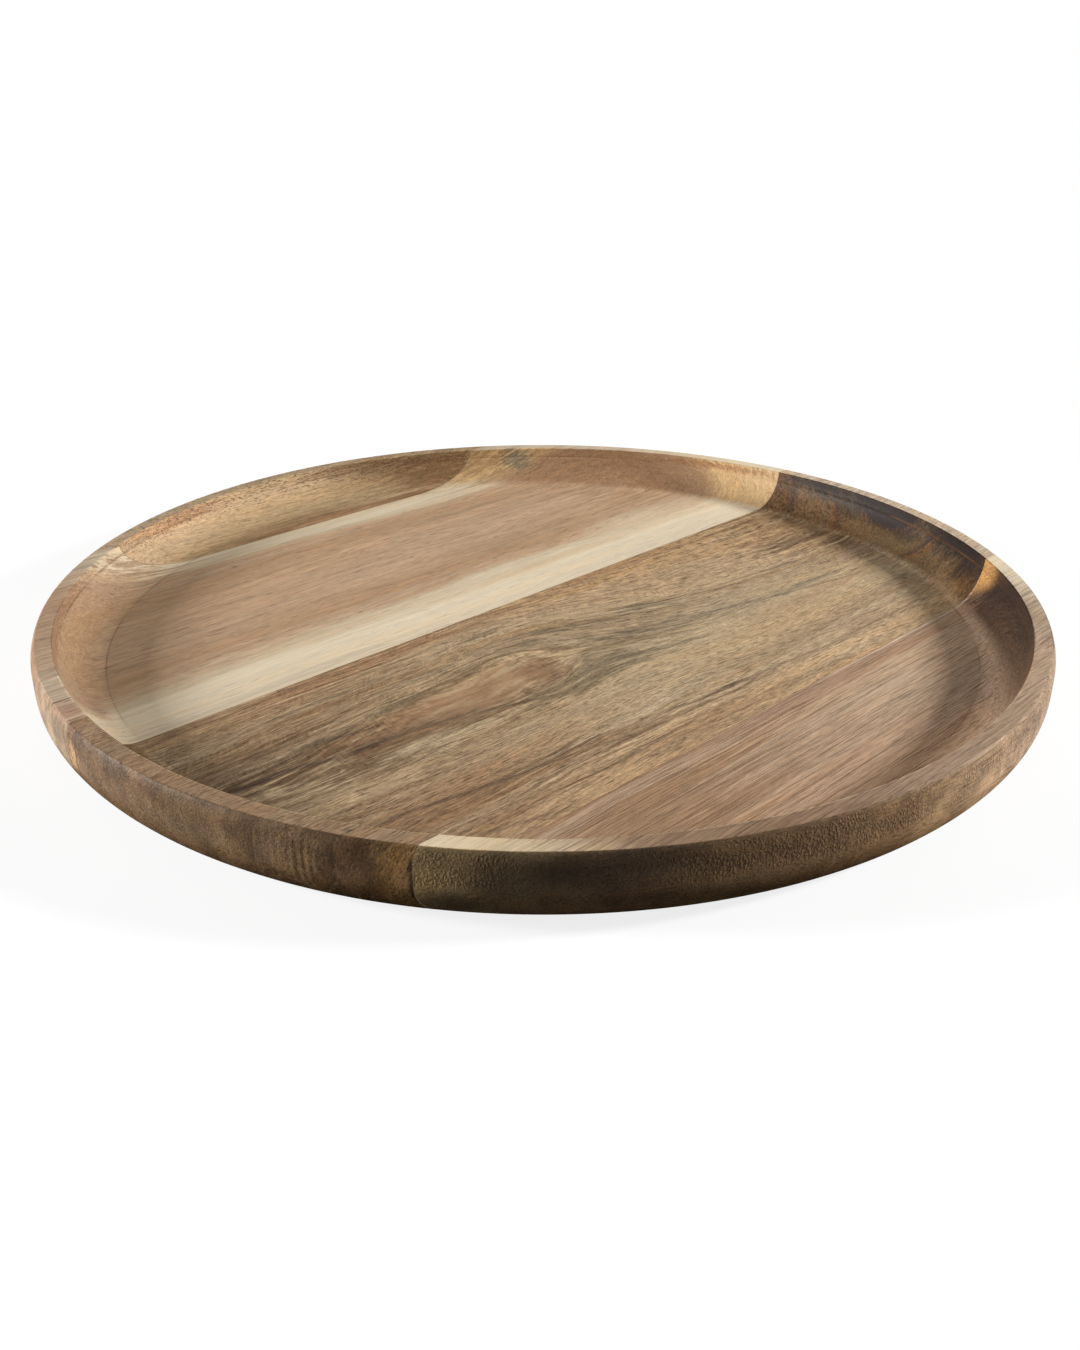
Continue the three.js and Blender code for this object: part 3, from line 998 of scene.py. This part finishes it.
WOODS = {
    "back_edge_stave": Wood(
        "golden_heartwood", seed=1, pith=(0, 150, -60), wander=8, shift=14, fine=0.3, coarse=0.12,
        pores=0.55, pore_length=2.6, pore_width=0.45, lip_pores=0.55, tint=0.6, torn=0.6,
        rings={55: "A68762", 72: "C0A580", 88: "B99C76", 110: "C3A984"},
        left_end={55: "BE9E7A", 110: "CAAD89"},
        right_end={55: "8A6C4C", 110: "967A58"},
        outer={-180: "A3845E", 180: "A3845E"},
        land={-90: "AE9A80", 90: "A88E6E"},
        marks=BACK_EDGE_MARKS,
    ),
    "sapwood_stave": Wood(
        "rose_heart_and_cream_sap", seed=2, pith=(0, 100, -25), wander=12, shift=5, fine=0.2, coarse=0.16,
        pores=0.5, pore_length=9, tint=0.45, torn=0.4, end_fray=2.5,
        rings={
            28: "AC8C6E", 38: "BC9D7F", 46: "AF9071", 55: "B99A7C", 62: "CDB798", 69: "DFCEB1",
            92: "D8C5A9",
        },
        left_end={
            28: "B08F70", 46: "A88868", 62: "A68970", 67: "BEA486", 70: "D2BEA0", 92: "D2BEA0",
        },
        right_end={28: "997A5D", 46: "906F53", 58: "977759", 66: "BF9F74", 92: "BF9F74"},
        outer={-126: "937A62", -106: "8F7660", -95: "705A45", 95: "B89C7C", 126: "C8AC84"},
        land={
            -195: "AC9680", -150: "A2876F", -112: "B5A38B", 60: "C6B49C", 125: "BBAB94",
            160: "D0BBA2", 190: "E0CFB0",
        },
        marks=SAPWOOD_MARKS, rim_marks=RIM_MARKS,
    ),
    "centre_stave": Wood(
        "streaked_heartwood", seed=3, pith=(0, -46, 45), wander=12, shift=6.5, fine=0.48, coarse=0.09,
        pores=0.7, pore_length=8, tint=0.75, torn=0.4, curl=0.2, run=1.8, mottle=0.34,
        still=((-66, -32, 11), (44, 14, 12)), chatter=((-181, -85, 17), (8, 6, 8)), flow=eye_flow,
        rings={
            25: "A68E73", 36: "B29B7B", 44: "A68D6F", 50: "9E8567", 56: "B49B7B", 66: "AC9070",
            80: "B29470",
        },
        left_end={15: "5A4229", 34: "70543A", 50: "58412B", 80: "6C4E30"},
        right_end={
            15: "282221", 27: "2E2625", 28.7: "5E4630", 31: "625039", 37: "6A553B",
            39.5: "463830", 41.5: "6C4E32", 44: "624D37", 58: "664F36", 62: "44352B",
            66: "62472D", 80: "523E2C",
        },
        outer={
            -96: "6C5541", -78: "63503A", -64: "66513A", -60.5: "503C29", -58.5: "604830",
            -56.5: "86673F", -54: "8F6F4B", 60: "6E5438",
        },
        land={-195: "876D56", -160: "8B7158", 150: "CDB89F", 195: "CDB89F"},
        streaks=on_floor(CENTRE_STREAKS, STREAK_REACH), strands=CENTRE_STRANDS,
        marks=on_floor(CENTRE_FLOOR_MARKS) + CENTRE_WALL_MARKS, smooth_marks=CENTRE_SMOOTH_MARKS,
    ),
    "front_edge_stave": Wood(
        "pink_straight_grain", seed=4, pith=(0, -184, -64), wander=5, shift=2.5, fine=0.32, coarse=0.045,
        pores=1.0, pore_length=28, pore_width=0.52, pore_depth=0.42, tint=0.5, end_fray=2, run=0.75,
        tight=1.8, mottle=0.22, foot=0.1, brow=0.2,
        rings={
            60: "A08265", 78: "AB8E75", 90: "AF947A", 104: "B2987E", 110: "D2BE9F", 122: "D8C5A6",
        },
        left_end={60: "735A3C", 100: "735A3C", 108: "BFA26C", 122: "C8AC76"},
        right_end={60: "584434", 86: "523F31", 102: "3E3028", 107: "B0844E", 122: "CDA066"},
        outer={
            -54: "8A7555", -46: "75634B", -38: "685545", -30: "765F45", -22: "765D43",
            -14: "866849", -6: "A1825F", 2: "B99877", 10: "B09276", 26: "B0977E", 36: "BFA68C",
        },
        land={
            -166: "E0CDAE", -142: "D0BB99", -116: "8E735B", -82: "785E49", -34: "8E7460",
            67: "A58D76", 112: "B29A82", 150: "E6D7BB",
        },
        marks=on_floor(FRONT_EDGE_FLOOR_MARKS), smooth_marks=FRONT_EDGE_SMOOTH_MARKS,
    ),
}
FINISHES = {node: WoodPainter(wood).paint() for node, wood in WOODS.items()}
CURED_GLUE = glue()

tray = turn_tray()
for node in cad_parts:
    piece = turned_piece(node, tray)
    piece.data.materials.append(FINISHES.get(node, CURED_GLUE))
tray.free()


# Floor, light and camera

def floor_material():
    """White to the camera, with the tray's shadow, and a dull grey to the tray. From below it is clear."""
    material, shader = new_material("pale_floor")
    material.node_tree.nodes.remove(shader)
    nodes = Nodes(material.node_tree)
    path = nodes.add("ShaderNodeLightPath").outputs
    seen = nodes.most(path["Is Camera Ray"], path["Is Glossy Ray"], path["Is Transmission Ray"])
    away = nodes.length(nodes.add("ShaderNodeTexCoord").outputs["Object"])
    grey = nodes.add("ShaderNodeBsdfDiffuse", {"Color": FLOOR_GREY}).outputs[0]
    glow = nodes.add("ShaderNodeEmission", {"Color": WHITE, "Strength": FLOOR_GLOW}).outputs[0]
    white = nodes.add("ShaderNodeEmission", {"Color": WHITE, "Strength": 1.0}).outputs[0]
    shadowed = nodes.add("ShaderNodeAddShader", {0: grey, 1: glow}).outputs[0]
    pale = nodes.blend(nodes.between(away, SHADOW_SPAN), shadowed, white)
    dull = nodes.blend(nodes.between(away, UNDER_SPAN), grey, white)
    surface = nodes.blend(seen, dull, pale)
    back = nodes.add("ShaderNodeNewGeometry").outputs["Backfacing"]
    from_below = nodes.times(path["Is Camera Ray"], back)
    clear = nodes.add("ShaderNodeBsdfTransparent").outputs[0]
    surface = nodes.blend(from_below, surface, clear)
    nodes.feed(material.node_tree.nodes["Material Output"], {"Surface": surface})
    material.cycles.emission_sampling = "NONE"
    return material


def studio_floor():
    bm = bmesh.new()
    bmesh.ops.create_grid(bm, x_segments=1, y_segments=1, size=FLOOR_HALF)
    floor = placed_mesh("studio_floor", bm)
    floor.data.materials.append(floor_material())
    floor.location.z = -FLOOR_DROP


def towards(direction, elevation):
    """A line of sight outwards, in degrees from +X towards +Y and degrees up."""
    angle = math.radians(direction)
    rise = math.radians(elevation)
    return Vector((math.cos(angle) * math.cos(rise), math.sin(angle) * math.cos(rise), math.sin(rise)))


def lamp(name, direction, elevation, distance, size, power):
    """A soft box that looks at the tray."""
    light = bpy.data.lights.new(name, "AREA")
    light.size = size
    light.energy = power
    stand = placed(name, light)
    back = towards(direction, elevation)
    stand.location = back * distance
    stand.rotation_euler = back.to_track_quat("Z", "Y").to_euler()


def studio_world():
    """White to the camera, and a faint light to the tray."""
    world = bpy.data.worlds.new("studio")
    bpy.context.scene.world = world
    world.use_nodes = True
    nodes = Nodes(world.node_tree)
    path = nodes.add("ShaderNodeLightPath").outputs
    seen = nodes.most(path["Is Camera Ray"], path["Is Transmission Ray"])
    strength = nodes.between(seen, FULL_SPAN, WORLD_LIGHT, 1.0, smooth=False)
    nodes.feed(world.node_tree.nodes["Background"], {"Color": WHITE, "Strength": strength})


def photo_camera():
    camera = bpy.data.cameras.new("camera")
    camera.lens = LENS
    camera.sensor_width = SENSOR_WIDTH
    stand = placed("camera", camera)
    rim_centre = Vector((0, 0, HEIGHT))
    back = towards(CAMERA_DIRECTION, CAMERA_ELEVATION)
    right = Vector((0, 0, 1)).cross(back).normalized()
    up = back.cross(right)
    stand.location = rim_centre + back * CAMERA_DISTANCE
    aim = rim_centre - up * AIM_BELOW_RIM - right * AIM_LEFT
    stand.rotation_euler = (stand.location - aim).to_track_quat("Z", "Y").to_euler()
    bpy.context.scene.camera = stand


studio_floor()
lamp("right_box", direction=-46, elevation=23, distance=1.6, size=0.22, power=35)
lamp("left_box", direction=140, elevation=19, distance=2.2, size=0.44, power=52)
lamp("left_low_box", direction=140, elevation=9, distance=2.2, size=0.68, power=40)
lamp("top_box", direction=60, elevation=75, distance=1.6, size=1.0, power=0.7)
studio_world()
photo_camera()
bpy.context.scene.view_settings.view_transform = "Standard"
